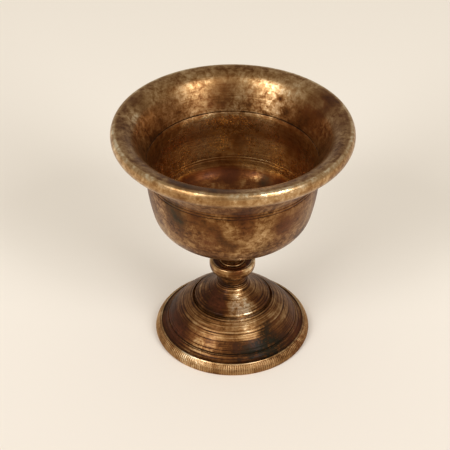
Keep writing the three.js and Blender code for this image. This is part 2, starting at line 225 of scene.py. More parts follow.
class CupStudSizes(PropertyGroup):
    """The tie stud, with the thread that the solid model leaves out."""

    base: length("Stud base", "Height of the stud's lower end", bottom_of("tie_stud"))
    top: length("Stud top", "Height of the stud's upper end", top_of("tie_stud"))
    radius: length("Stud radius", "Radius over the thread", radius_of("tie_stud"))
    chamfer: length("Chamfer", "Chamfer at the stud's ends", 0.5)
    pitch: length("Thread pitch", "Rise of the thread in one turn", 0.8)
    depth: length("Thread depth", "Depth of the thread", 0.35)


class CupTurning(PropertyGroup):
    """How finely the pieces are turned, and what the tool and long use leave on them."""

    facets: IntProperty(name="Facets", description="Facets round foot and bowl", default=160)
    small_facets: IntProperty(name="Small facets", description="Facets round the rest", default=128)
    ridge_sides: IntProperty(name="Ridge sides", description="Sides of a milled ridge", default=8)
    ridge_steps: IntProperty(name="Ridge steps", description="Steps along a ridge", default=9)
    row: length("Row", "Distance between rows of facets along the bowl's profile", 0.6)
    fine_row: length("Fine row", "The same on the foot, whose tool marks are deep", 0.35)
    small_row: length("Small row", "The same on the collar and the packing ring", 0.25)
    thread_row: length("Thread row", "The same on the stud, so that its thread shows", 0.2)
    hidden_row: length("Hidden row", "The same inside the foot, where little shows", 1.5)
    wobble: length("Wobble", "How far hand work and wear leave a surface untrue", 0.05)
    wobble_size: length("Wobble size", "Width of such a high or low place", 14)
    mark_pitch: length("Tool mark pitch", "Distance between tool marks", 0.8)
    mark_depth: length("Tool mark depth", "Depth of the deepest tool marks", 0.07)


class CupColours(PropertyGroup):
    """Colours of brass from dirt in a groove to metal rubbed bright."""

    grime: tint("Grime", "Wax and dirt packed into grooves", "1c1005")
    oxide: tint("Oxide", "Old brown-black oxide", "41250c")
    umber: tint("Umber", "Even brown tarnish", "704722")
    ochre: tint("Ochre", "Tarnish worn thin", "966f43")
    gold: tint("Gold", "Brass rubbed by hands", "bb9668")
    bright: tint("Bright", "Crests that are polished by wear", "e4cda6")
    red: tint("Red oxide", "Reddish bloom of copper", "69361c")
    # Amber is painted bounce light, the warm cast of the light between the brass walls inside.
    bounce_amber: tint("Amber", "Film of old oil that warms the inside", "fff3d6")
    green: tint("Green-black", "Dark spots with a trace of verdigris", "2e2c1d")
    floor_near: tint("Floor, near", "The pale floor towards the camera", "e8d9c5")
    floor_far: tint("Floor, far", "The pale floor away from the camera", "f8ead5")


class CupStage(PropertyGroup):
    """Where the camera and the lamps stand."""

    camera_distance: length("Camera distance", "From the cup's axis, along the floor", 546.1)
    camera_height: length("Camera height", "Above the floor", 459.4)
    camera_side: length("Camera side", "How far the camera stands to the left", 3.2)
    camera_pitch: angle("Camera pitch", "How far the camera looks down", 36.49)
    lamp_distance: length("Lamp distance", "From the cup to each soft lamp", 1500)
    lamp_width: length("Lamp width", "Width of each soft lamp", 400)
    lamp_height: length("Lamp height", "Height of each soft lamp", 1000)
    lamp_turn: angle("Lamp turn", "To each side of the camera", 42)
    lamp_rise: angle("Lamp rise", "Above the floor", 32)
    lamp_power: FloatProperty(name="Lamp power", description="Watts of each lamp", default=15)
    lamp_colour: tint("Lamp colour", "Daylight, a little cooler than the room", "eaf2ff")
    lamp_aim: length("Lamp aim", "Height of the place that the lamps point to", 60)
    room: FloatProperty(name="Room light", description="Strength of the plain room", default=0.52)
    room_colour: FloatVectorProperty(
        name="Room colour",
        description="Warm white, so near to white that it is written in linear numbers",
        size=4,
        subtype="COLOR",
        default=(1, 0.98, 0.95, 1),
    )
    floor_reach: length("Floor reach", "From the cup to each side of the floor", 3000)


# Profiles


def xy(x, y):
    """A point of a profile, or the way from one to another: out from the axis, and up."""
    return Vector((x, y))


def heading(degrees):
    """The unit step in a direction, in degrees above straight out from the axis."""
    return xy(math.cos(math.radians(degrees)), math.sin(math.radians(degrees)))


def bearing(vector):
    """The direction of a vector, in the same degrees."""
    return math.degrees(math.atan2(vector.y, vector.x))


def step(start, degrees, distance):
    """The point reached from a start by going a distance in a direction."""
    return start + distance * heading(degrees)


def crossing(start, start_degrees, end, end_degrees):
    """Where a line from one point crosses a line from another."""
    along, across = heading(start_degrees), heading(end_degrees)
    reach = (end - start).cross(across) / along.cross(across)
    return start + reach * along


def arc(centre, radius, start, end, count=12):
    """Points along an arc, both ends included."""
    return [step(centre, start + (end - start) * i / count, radius) for i in range(count + 1)]


def bend(start, corner, end, count=12):
    """A smooth bend that leaves the start towards the corner and arrives from the corner."""
    points = []
    for i in range(count + 1):
        t = i / count
        points.append(start.lerp(corner, t).lerp(corner.lerp(end, t), t))
    return points


def rounded(before, corner, after, distance, count=6):
    """A rounded corner that starts and ends a distance from it."""
    start = corner + distance * (before - corner).normalized()
    end = corner + distance * (after - corner).normalized()
    return bend(start, corner, end, count)


def cut_line(point, degrees, width, depth):
    """A line cut into a straight run of a profile, with the metal on its left."""
    floor = step(point, degrees + 90, depth)
    start, end = step(point, degrees, -width / 2), step(point, degrees, width / 2)
    lip = width / 8
    return [
        *rounded(step(start, degrees, -width), start, floor, lip, 3),
        *rounded(start, floor, end, lip, 3),
        *rounded(floor, end, step(end, degrees, width), lip, 3),
    ]


def scored(points, heights, width, depth):
    """A run of a profile with lines cut into it where it passes the given heights."""
    made = []
    for before, after in zip(points, points[1:]):
        made.append((before, None))
        for height in heights:
            if (before.y - height) * (after.y - height) <= 0 and before.y != after.y:
                place = before.lerp(after, (height - before.y) / (after.y - before.y))
                made.append((place, cut_line(place, bearing(after - before), width, depth)))
    made.append((points[-1], None))

    # Points that a line is cut through give way to it.
    cuts = [place for place, line in made if line]
    kept = []
    for point, line in made:
        if line:
            kept += line
        elif all((point - place).length > 0.8 * width for place in cuts):
            kept.append(point)
    return kept


def run(points, tone, red=0.0, row=None):
    """A run of a profile: its points, how rubbed it is, how red, and how far apart its rows are.

    The tone goes from -1, dark, to 1, bright: dirt and wear, and in some runs painted shade and
    painted light. Red is the red oxide stain, and from 0.3 upwards it also brings the painted warmth
    of bounce light inside the bowl.
    """
    return points, tone, red, row


def fade(points, start, end, red):
    """Runs of one point each, whose tone goes evenly from the start value to the end value."""
    reach = end - start
    return [run([point], start + reach * i / len(points), red) for i, point in enumerate(points)]


def spread(runs, row):
    """Rows of a profile no more than a row apart: point, tone, red, and distance along."""
    rows = []
    travelled = 0
    for points, tone, red, own_row in runs:
        for point in points:
            if not rows:
                rows.append((point, tone, red, 0))
                continue
            last, last_tone, last_red, _ = rows[-1]
            gap = (point - last).length
            if gap < TOUCHING:
                continue
            pieces = math.ceil(gap / (own_row or row))
            for i in range(1, pieces + 1):
                t = i / pieces
                mixed = (last_tone + (tone - last_tone) * t, last_red + (red - last_red) * t)
                rows.append((last.lerp(point, t), *mixed, travelled + gap * t))
            travelled += gap
    return rows


def around(rows, i, reach):
    """The mean point, tone and red of a profile within a reach of one row."""
    near = [(row, reach - abs(row[3] - rows[i][3])) for row in rows]
    near = [(row, weight) for row, weight in near if weight > 0]
    total = sum(weight for _, weight in near)
    point = xy(0, 0)
    for row, weight in near:
        point += row[0] * weight
    tone, red = (sum(row[k] * weight for row, weight in near) / total for k in (1, 2))
    return point / total, tone, red


def profile_object(name, runs, row):
    """The profile as an open mesh line, with what the lathe and the material read from it.

    along is the distance along the profile, tone and red are as in a run, and edge says how far the
    profile stands proud of the metal round it (above 0) or lies sunk in it (below 0).
    """
    rows = spread(runs, row)
    mesh = bpy.data.meshes.new(name)
    mesh.from_pydata(
        [(row[0].x, 0, row[0].y) for row in rows], [(i, i + 1) for i in range(len(rows) - 1)], []
    )
    values = {"along": [], "tone": [], "red": [], "edge": []}
    for i, (point, _, _, along) in enumerate(rows):
        before, after = rows[max(i - 1, 0)][0], rows[min(i + 1, len(rows) - 1)][0]
        forwards = (after - before).normalized()
        middle, tone, red = around(rows, i, EDGE_REACH)
        values["along"].append(along)
        values["tone"].append(tone)
        values["red"].append(red)
        proud = (point - middle).dot(xy(forwards.y, -forwards.x))
        values["edge"].append(proud / EDGE_UNIT)
    for key, numbers in values.items():
        mesh.attributes.new(key, "FLOAT", "POINT").data.foreach_set("value", numbers)
    made = bpy.data.objects.new(name, mesh)
    bpy.context.scene.collection.objects.link(made)
    return made


# Node trees


def add(tree, kind, inputs=None, **settings):
    """Adds a node with its settings. An input is a value, a socket, or a node's first output."""
    node = tree.nodes.new(kind)
    for name, value in settings.items():
        setattr(node, name, value)
    for key, value in (inputs or {}).items():
        if isinstance(value, bpy.types.Node):
            value = value.outputs[0]
        if isinstance(value, bpy.types.NodeSocket):
            tree.links.new(value, node.inputs[key])
        else:
            node.inputs[key].default_value = value
    return node


def new_tree(name, inputs):
    """An empty modifier tree with a geometry input and output and the named inputs."""
    tree = bpy.data.node_groups.new(name, "GeometryNodeTree")
    tree.is_modifier = True
    tree.interface.new_socket("Geometry", in_out="INPUT", socket_type="NodeSocketGeometry")
    tree.interface.new_socket("Geometry", in_out="OUTPUT", socket_type="NodeSocketGeometry")
    for label, kind in inputs.items():
        tree.interface.new_socket(label, in_out="INPUT", socket_type="NodeSocket" + kind)
    return tree, add(tree, "NodeGroupInput").outputs


def finish_tree(tree, geometry, material):
    """Ends a tree with the realized geometry in one material, shaded smooth."""
    smooth = add(tree, "GeometryNodeSetShadeSmooth", {"Geometry": geometry})
    real = add(tree, "GeometryNodeRealizeInstances", {"Geometry": smooth})
    painted = add(tree, "GeometryNodeSetMaterial", {"Geometry": real, "Material": material})
    add(tree, "NodeGroupOutput", {0: painted})


def lathe_tree():
    """Turns a profile line about the axis, with tool marks, a slight wobble and a thread."""
    sizes = ("Wobble", "Wobble size", "Mark depth", "Mark pitch", "Thread depth", "Thread pitch")
    floats = dict.fromkeys((*sizes, "Seed"), "Float")
    inputs = {"Facets": "Int", **floats, "Material": "Material"}
    tree, given = new_tree("turned on the lathe", inputs)
    line = given["Geometry"]
    rows = add(tree, "GeometryNodeAttributeDomainSize", {"Geometry": line}, component="MESH")
    rows = rows.outputs["Point Count"]
    columns = add(tree, "ShaderNodeMath", {0: given["Facets"], 1: 1}, operation="ADD")
    sheet = {"Size X": 1, "Size Y": 1, "Vertices X": rows, "Vertices Y": columns}
    skin = add(tree, "GeometryNodeFlipFaces", {0: add(tree, "GeometryNodeMeshGrid", sheet)})

    # One side of the flat sheet becomes the profile, and the other one turn round the axis.
    place = add(tree, "ShaderNodeSeparateXYZ", {0: add(tree, "GeometryNodeInputPosition")})
    share, turned = (
        add(tree, "ShaderNodeMath", {0: place.outputs[i], 1: 0.5}, operation="ADD") for i in (0, 1)
    )
    last = add(tree, "ShaderNodeMath", {0: rows, 1: 1}, operation="SUBTRACT")
    count = add(tree, "ShaderNodeMath", {0: share, 1: last}, operation="MULTIPLY")
    row = add(tree, "FunctionNodeFloatToInt", {0: count}, rounding_mode="ROUND")
    turn = add(tree, "ShaderNodeMath", {0: turned, 1: 2 * math.pi}, operation="MULTIPLY")
    for key in ("along", "tone", "red", "edge"):
        value = add(tree, "GeometryNodeInputNamedAttribute", {"Name": key}, data_type="FLOAT")
        source = {"Geometry": line, "Value": value, "Index": row}
        picked = add(tree, "GeometryNodeSampleIndex", source, data_type="FLOAT")
        stored = {"Geometry": skin, "Name": key, "Value": picked}
        skin = add(tree, "GeometryNodeStoreNamedAttribute", stored, data_type="FLOAT")
    source = {"Geometry": line, "Value": add(tree, "GeometryNodeInputPosition"), "Index": row}
    point = add(tree, "GeometryNodeSampleIndex", source, data_type="FLOAT_VECTOR")
    point = add(tree, "ShaderNodeSeparateXYZ", {0: point})
    radius, height = point.outputs[0], point.outputs[2]

    # A thread is a groove whose depth swings with the height and the turn together.
    turns = add(tree, "ShaderNodeMath", {0: height, 1: given["Thread pitch"]}, operation="DIVIDE")
    groove = add(tree, "ShaderNodeMath", {0: turns, 1: turned}, operation="SUBTRACT")
    groove = add(tree, "ShaderNodeMath", {0: groove, 1: 0.5}, operation="PINGPONG")
    for factor in (2, given["Thread depth"]):
        groove = add(tree, "ShaderNodeMath", {0: groove, 1: factor}, operation="MULTIPLY")
    cut = add(tree, "ShaderNodeMath", {0: radius, 1: groove}, operation="SUBTRACT")
    cut = add(tree, "ShaderNodeMath", {0: cut, 1: 0}, operation="MAXIMUM")
    level = {}
    for i, operation in enumerate(("COSINE", "SINE")):
        part = add(tree, "ShaderNodeMath", {0: turn}, operation=operation)
        level[i] = add(tree, "ShaderNodeMath", {0: cut, 1: part}, operation="MULTIPLY")
    place = add(tree, "ShaderNodeCombineXYZ", {**level, 2: height})
    skin = add(tree, "GeometryNodeSetPosition", {"Geometry": skin, "Position": place})
    skin = add(tree, "GeometryNodeMergeByDistance", {"Geometry": skin, "Distance": WELD})

    # The wobble varies over the whole surface, and the tool marks only along the profile.
    size = add(tree, "ShaderNodeMath", {0: 1, 1: given["Wobble size"]}, operation="DIVIDE")
    noise = {"W": given["Seed"], "Scale": size, "Detail": 1}
    wobble = add(tree, "ShaderNodeTexNoise", noise, noise_dimensions="4D").outputs[0]
    along, edge = (
        add(tree, "GeometryNodeInputNamedAttribute", {"Name": key}, data_type="FLOAT")
        for key in ("along", "edge")
    )
    along = add(tree, "ShaderNodeMath", {0: along, 1: given["Mark pitch"]}, operation="DIVIDE")
    noise = {"W": along, "Scale": 1, "Detail": 0}
    marks = add(tree, "ShaderNodeTexNoise", noise, noise_dimensions="1D").outputs[0]

    # The crest of a mark is rubbed and its floor keeps dirt, as on the profile's own edges.
    relief = add(tree, "ShaderNodeMath", {0: marks, 1: 0.5}, operation="SUBTRACT")
    relief = add(tree, "ShaderNodeMath", {0: relief, 1: given["Mark depth"]}, operation="MULTIPLY")
    relief = add(tree, "ShaderNodeMath", {0: relief, 1: MARK_UNIT}, operation="DIVIDE")
    edge = add(tree, "ShaderNodeMath", {0: edge, 1: relief}, operation="ADD")

    # Noise seldom passes its peak here, and the rest is cut off, so nothing grows past the solid.
    move = 0.0
    for noise, peak, depth in ((wobble, 0.8, given["Wobble"]), (marks, 0.75, given["Mark depth"])):
        below = add(tree, "ShaderNodeMath", {0: noise, 1: peak}, operation="SUBTRACT")
        move = add(tree, "ShaderNodeMath", {0: below, 1: depth, 2: move}, operation="MULTIPLY_ADD")
    move = add(tree, "ShaderNodeMath", {0: move, 1: 0.0}, operation="MINIMUM")
    above = add(tree, "ShaderNodeSeparateXYZ", {0: add(tree, "GeometryNodeInputPosition")})
    clear = add(tree, "ShaderNodeMapRange", {"Value": above.outputs[2], "From Max": TRUE_HEIGHT})
    move = add(tree, "ShaderNodeMath", {0: move, 1: clear}, operation="MULTIPLY")
    normal = add(tree, "GeometryNodeInputNormal")
    offset = add(tree, "ShaderNodeVectorMath", {0: normal, "Scale": move}, operation="SCALE")
    stored = {"Geometry": skin, "Name": "edge", "Value": edge}
    skin = add(tree, "GeometryNodeStoreNamedAttribute", stored, data_type="FLOAT")
    skin = add(tree, "GeometryNodeSetPosition", {"Geometry": skin, "Offset": offset})
    finish_tree(tree, skin, given["Material"])
    return tree


def milling_tree():
    """Adds upright rounded ridges round the milled band to the foot."""
    counts = dict.fromkeys(("Ridges", "Sides", "Steps"), "Int")
    places = dict.fromkeys(("Foot of ridge", "Bow of ridge", "Head of ridge"), "Vector")
    tree, given = new_tree(
        "milled ridges", {**counts, **places, "Ridge radius": "Float", "Material": "Material"}
    )
    ends = {
        "Start": given["Foot of ridge"],
        "Middle": given["Bow of ridge"],
        "End": given["Head of ridge"],
    }
    spine = add(tree, "GeometryNodeCurveQuadraticBezier", {"Resolution": given["Steps"], **ends})

    # A ridge is full in the middle and runs out to a point at both ends.
    share = add(tree, "GeometryNodeSplineParameter")
    full = add(tree, "ShaderNodeMath", {0: share, 1: math.pi}, operation="MULTIPLY")
    full = add(tree, "ShaderNodeMath", {0: full}, operation="SINE")
    full = add(tree, "ShaderNodeMath", {0: full, 1: 0.0}, operation="MAXIMUM")
    full = add(tree, "ShaderNodeMath", {0: full, 1: 0.35}, operation="POWER")
    spine = add(tree, "GeometryNodeSetCurveRadius", {"Curve": spine, "Radius": full})
    circle = {"Resolution": given["Sides"], "Radius": given["Ridge radius"]}
    section = add(tree, "GeometryNodeCurvePrimitiveCircle", circle)
    swept = {"Curve": spine, "Profile Curve": section, "Fill Caps": True}
    ridge = add(tree, "GeometryNodeCurveToMesh", swept)
    ridge = add(tree, "GeometryNodeMergeByDistance", {"Geometry": ridge, "Distance": WELD})
    for key, value in {"along": 0.0, "tone": 0.2, "red": 0.0, "edge": 0.4}.items():
        stored = {"Geometry": ridge, "Name": key, "Value": value}
        ridge = add(tree, "GeometryNodeStoreNamedAttribute", stored, data_type="FLOAT")

    spots = add(tree, "GeometryNodePoints", {"Count": given["Ridges"]})
    pitch = add(tree, "ShaderNodeMath", {0: 2 * math.pi, 1: given["Ridges"]}, operation="DIVIDE")
    count = add(tree, "GeometryNodeInputIndex")
    turn = add(tree, "ShaderNodeMath", {0: count, 1: pitch}, operation="MULTIPLY")
    turn = add(tree, "ShaderNodeCombineXYZ", {2: turn})
    placed = {"Points": spots, "Instance": ridge, "Rotation": turn}
    ridges = add(tree, "GeometryNodeInstanceOnPoints", placed)
    ridges = add(tree, "GeometryNodeRealizeInstances", {"Geometry": ridges})
    both = add(tree, "GeometryNodeJoinGeometry")
    for part in (ridges.outputs[0], given["Geometry"]):
        tree.links.new(part, both.inputs[0])
    finish_tree(tree, both, given["Material"])
    return tree


def run_tree(piece, tree, values):
    """Puts a tree on a piece with its named inputs set."""
    modifier = piece.modifiers.new(tree.name, "NODES")
    modifier.node_group = tree
    for item in tree.interface.items_tree:
        if item.item_type == "SOCKET" and item.in_out == "INPUT" and item.name in values:
            modifier[item.identifier] = values[item.name]


def plain(piece, name):
    """The evaluated piece as a plain mesh of its own, in place of the one with modifiers."""
    evaluated = piece.evaluated_get(bpy.context.evaluated_depsgraph_get())
    mesh = bpy.data.meshes.new_from_object(evaluated)
    mesh.name = name
    made = bpy.data.objects.new(name, mesh)
    bpy.context.scene.collection.objects.link(made)
    bpy.data.objects.remove(piece)
    return made


def volume(mesh):
    """The signed volume inside a mesh, above 0 when its faces look outwards."""
    mesh.calc_loop_triangles()
    total = 0
    for triangle in mesh.loop_triangles:
        a, b, c = (mesh.vertices[i].co for i in triangle.vertices)
        total += a.dot(b.cross(c)) / 6
    return total


def lathe_values(facets, seed, wobble=1.0, wobble_size=1.0, marks=1.0):
    """The lathe's inputs for a piece without a thread, by its share of the wobble and the marks."""
    turning = bpy.context.scene.cup_turning
    return {
        "Facets": facets,
        "Wobble": turning.wobble * wobble,
        "Wobble size": turning.wobble_size * wobble_size,
        "Mark depth": turning.mark_depth * marks,
        "Mark pitch": turning.mark_pitch,
        "Thread pitch": 1.0,
        "Seed": seed,
    }


def turn_piece(name, runs, row, material, values, milled=None):
    """Turns a piece from its profile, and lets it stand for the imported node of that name."""
    line = profile_object(name + "_profile", runs, row)
    run_tree(line, lathe_tree(), {**values, "Material": material})
    if milled:
        run_tree(line, milling_tree(), {**milled, "Material": material})
    piece = plain(line, "turned_" + name)
    if not piece.data.polygons:
        raise RuntimeError(name + " came off the lathe empty")
    if volume(piece.data) < 0:
        raise RuntimeError(name + " came off the lathe inside out")
    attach(piece, "root")
    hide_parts(name)
    return piece


# Materials

# Grains of the metal as noise: width in millimetres, detail, and how warped it is.
GRAINS = {
    "cloud": (17, 3, 0.3),
    "mottle": (3.4, 5, 0.4),
    "scuff": (2.2, 3, 0.7),
    "speck": (0.6, 3, 0),
}
# Tool rings: their width along the profile, and how far one stays the same along X and Y.
RING_SIZES = (0.45 * MM, 9 * MM, 9 * MM)
# Relief in millimetres: tool rings, pitting and the soft unevenness of the casting.
RELIEF = {"lines": 0.05, "speck": 0.015, "mottle": 0.06}
# How far the mottling varies the roughness.
ROUGH_MOTTLE = 0.22
# Width of the ragged edge of a patch, and of the clouds in which the red oxide blooms.
RAGGED = 5 * MM
BLOOM = 11 * MM
# The metal's colour by its wear, from 0, dirt in a groove, to 1, a crest that is polished bright.
WEAR_COLOURS = {"grime": 0, "oxide": 0.2, "umber": 0.4, "ochre": 0.58, "gold": 0.8, "bright": 1}


def new_material(name):
    """A new material, and its node tree with nothing in it."""
    material = bpy.data.materials.new(name)
    material.use_nodes = True
    material.node_tree.nodes.clear()
    return material, material.node_tree


def metal_grains(tree, where, along):
    """Noise at the real sizes of the metal's grains and tool rings, about 0.5 in the mean."""
    grains = {}
    for key, (size, detail, warp) in GRAINS.items():
        noise = {"Vector": where, "Scale": 1 / (size * MM), "Detail": detail, "Distortion": warp}
        grains[key] = add(tree, "ShaderNodeTexNoise", {**noise, "Roughness": 0.65}).outputs[0]

    # Scuffs have harder edges than the other grains.
    sharp = {"Value": grains["scuff"], "From Min": 0.38, "From Max": 0.62}
    grains["scuff"] = add(tree, "ShaderNodeMapRange", sharp)

    # Tool rings change fast along the profile and slowly round the axis.
    axis = add(tree, "ShaderNodeSeparateXYZ", {0: where})
    rings = add(tree, "ShaderNodeCombineXYZ", {0: along, 1: axis.outputs[0], 2: axis.outputs[1]})
    rings = add(tree, "ShaderNodeVectorMath", {0: rings, 1: RING_SIZES}, operation="DIVIDE")
    noise = {"Vector": rings, "Scale": 1, "Detail": 3}
    grains["lines"] = add(tree, "ShaderNodeTexNoise", noise).outputs[0]
    return grains


def patch_stains(tree, where, patches, strength):
    """What the patches add to the tone and to the red and green stains."""
    stains = {"tone": 0.0, "red": 0.0, "green": 0.0}
    for turn, radius, height, size, *amounts in patches:
        beta = math.radians(turn)
        centre = Vector((radius * math.sin(beta), -radius * math.cos(beta), height)) * MM
        place = {"Vector": where, "Location": centre, "Scale": (size * MM,) * 3}
        local = add(tree, "ShaderNodeMapping", place, vector_type="TEXTURE")
        spot = add(tree, "ShaderNodeTexGradient", {0: local}, gradient_type="SPHERICAL").outputs[1]
        for key, amount in zip(stains, amounts):
            if amount:
                more = {0: spot, 1: amount, 2: stains[key]}
                stains[key] = add(tree, "ShaderNodeMath", more, operation="MULTIPLY_ADD")
    for key, stain in stains.items():
        stains[key] = add(tree, "ShaderNodeMath", {0: stain, 1: strength}, operation="MULTIPLY")
    return stains


def brass(name, patches=(), cloud=0.35, mottle=0.3, scuff=0.04, lines=0.12, matt=0.0):
    """Cast brass that was turned, then aged by handling and dirt.

    The eye sees clouds of brown and ochre, dark dirt in the grooves, golden crests, and fine rings
    left by the tool. The shares say how far each grain of the metal shifts its wear, and matt is
    added to the roughness.
    """
    colours = bpy.context.scene.cup_colours
    material, tree = new_material(name)
    where = add(tree, "ShaderNodeTexCoord").outputs["Object"]
    tone, red, edge, along = (
        add(tree, "ShaderNodeAttribute", attribute_name=key).outputs["Fac"]
        for key in ("tone", "red", "edge", "along")
    )
    grains = metal_grains(tree, where, along)

    # A tone of 0 is an even brown. A sunk place darkens twice as fast as a proud one brightens.
    wear = add(tree, "ShaderNodeMath", {0: tone, 1: 0.5, 2: 0.53}, operation="MULTIPLY_ADD")
    shares = {"cloud": cloud, "mottle": mottle, "scuff": scuff, "speck": 0.1, "lines": lines}
    for key, share in shares.items():
        middle = add(tree, "ShaderNodeMath", {0: grains[key], 1: 0.5}, operation="SUBTRACT")
        more = {0: middle, 1: 2 * share, 2: wear}
        wear = add(tree, "ShaderNodeMath", more, operation="MULTIPLY_ADD")
    for low, high, share in ((-1, 0, 0.45), (0, 1, 0.22)):
        proud = add(tree, "ShaderNodeClamp", {"Value": edge, "Min": low, "Max": high})
        wear = add(tree, "ShaderNodeMath", {0: proud, 1: share, 2: wear}, operation="MULTIPLY_ADD")

    # Patches lie where years of holding and standing put them; a few are painted highlights and
    # painted shade instead. Their edges are ragged, and the grains break them up.
    noise = {"Vector": where, "Scale": 1 / RAGGED, "Detail": 5, "Roughness": 0.7}
    ragged = {0: add(tree, "ShaderNodeTexNoise", noise).outputs[1], 1: (0.5, 0.5, 0.5)}
    ragged = add(tree, "ShaderNodeVectorMath", ragged, operation="SUBTRACT")
    ragged = add(tree, "ShaderNodeVectorMath", {0: ragged, "Scale": RAGGED}, operation="SCALE")
    warped = add(tree, "ShaderNodeVectorMath", {0: where, 1: ragged}, operation="ADD")
    uneven = add(tree, "ShaderNodeMath", {0: grains["mottle"], 1: grains["scuff"]}, operation="ADD")
    span = {"From Min": 0.5, "From Max": 1.5, "To Min": 0.5, "To Max": 1.7}
    strength = add(tree, "ShaderNodeMapRange", {"Value": uneven, **span})
    stains = patch_stains(tree, warped, patches, strength)
    wear = add(tree, "ShaderNodeMath", {0: wear, 1: stains["tone"]}, operation="ADD")

    ramp = add(tree, "ShaderNodeValToRGB", {0: wear})
    stops = ramp.color_ramp.elements
    while len(stops) < len(WEAR_COLOURS):
        stops.new(0.5)
    for stop, (key, place) in zip(stops, WEAR_COLOURS.items()):
        stop.position = place
        stop.color = getattr(colours, key)

    # Red oxide blooms in clouds of its own, and both stains gather where the metal is dark.
    bloom = add(tree, "ShaderNodeTexNoise", {"Vector": warped, "Scale": 1 / BLOOM, "Detail": 3})
    span = {"From Min": 0.54, "From Max": 0.74, "To Max": 0.3}
    bloom = add(tree, "ShaderNodeMapRange", {"Value": bloom.outputs[0], **span})
    for more in (bloom, red):
        stains["red"] = add(tree, "ShaderNodeMath", {0: stains["red"], 1: more}, operation="ADD")
    span = {"From Min": 0.35, "From Max": 0.85, "To Min": 1, "To Max": 0.15}
    dark = add(tree, "ShaderNodeMapRange", {"Value": wear, **span})
    colour = ramp.outputs[0]
    for key in ("red", "green"):
        held = {0: stains[key], 1: dark}
        cover = add(tree, "ShaderNodeMath", held, operation="MULTIPLY", use_clamp=True)
        layers = {0: cover, 6: colour, 7: tuple(getattr(colours, key))}
        colour = add(tree, "ShaderNodeMix", layers, data_type="RGBA").outputs[2]

    # Painted bounce light: where red passes 0.3 the colour is multiplied by amber, a painted warmth
    # for the light that bounces between the brass walls inside the bowl.
    painted_bounce = add(tree, "ShaderNodeMapRange", {"Value": red, "From Min": 0.3, "From Max": 0.5})
    layers = {0: painted_bounce, 6: colour, 7: tuple(colours.bounce_amber)}
    colour = add(tree, "ShaderNodeMix", layers, data_type="RGBA", blend_type="MULTIPLY").outputs[2]

    # Dirt is a little less metallic than bare brass, and rougher.
    span = {"From Max": 0.4, "To Min": 0.95, "To Max": 1}
    metallic = add(tree, "ShaderNodeMapRange", {"Value": wear, **span})
    span = {"To Min": 0.54 + matt, "To Max": 0.24 + matt}
    rough = add(tree, "ShaderNodeMapRange", {"Value": wear, **span})
    middle = add(tree, "ShaderNodeMath", {0: grains["mottle"], 1: 0.5}, operation="SUBTRACT")
    more = {0: middle, 1: ROUGH_MOTTLE, 2: rough}
    rough = add(tree, "ShaderNodeMath", more, operation="MULTIPLY_ADD")
    height = 0.0
    for key, depth in RELIEF.items():
        more = {0: grains[key], 1: depth, 2: height}
        height = add(tree, "ShaderNodeMath", more, operation="MULTIPLY_ADD")
    bump = add(tree, "ShaderNodeBump", {"Height": height, "Distance": MM})
    shader = add(
        tree,
        "ShaderNodeBsdfPrincipled",
        {
            "Base Color": colour,
            "Metallic": metallic,
            "Roughness": rough,
            "Normal": bump,
            "Coat Weight": 0.05,
            "Coat Roughness": 0.2,
            "Coat Normal": bump,
        },
    )
    add(tree, "ShaderNodeOutputMaterial", {0: shader})
    return material


def pale_floor():
    """Paper, matt and pale, its colour painted a little darker towards the camera: painted shade
    that evens out the lamps' stronger light on the near floor.
    """
    colours = bpy.context.scene.cup_colours
    material, tree = new_material("matt pale paper")
    where = add(tree, "ShaderNodeTexCoord").outputs["Object"]
    depth = add(tree, "ShaderNodeSeparateXYZ", {0: where}).outputs[1]
    span = {"From Min": FLOOR_NEAR, "From Max": FLOOR_FAR}
    share = add(tree, "ShaderNodeMapRange", {"Value": depth, **span})
    layers = {0: share, 6: tuple(colours.floor_near), 7: tuple(colours.floor_far)}
    colour = add(tree, "ShaderNodeMix", layers, data_type="RGBA").outputs[2]
    shader = add(tree, "ShaderNodeBsdfPrincipled", {"Base Color": colour, "Roughness": 0.9})
    add(tree, "ShaderNodeOutputMaterial", {0: shader})
    return material


# Operators


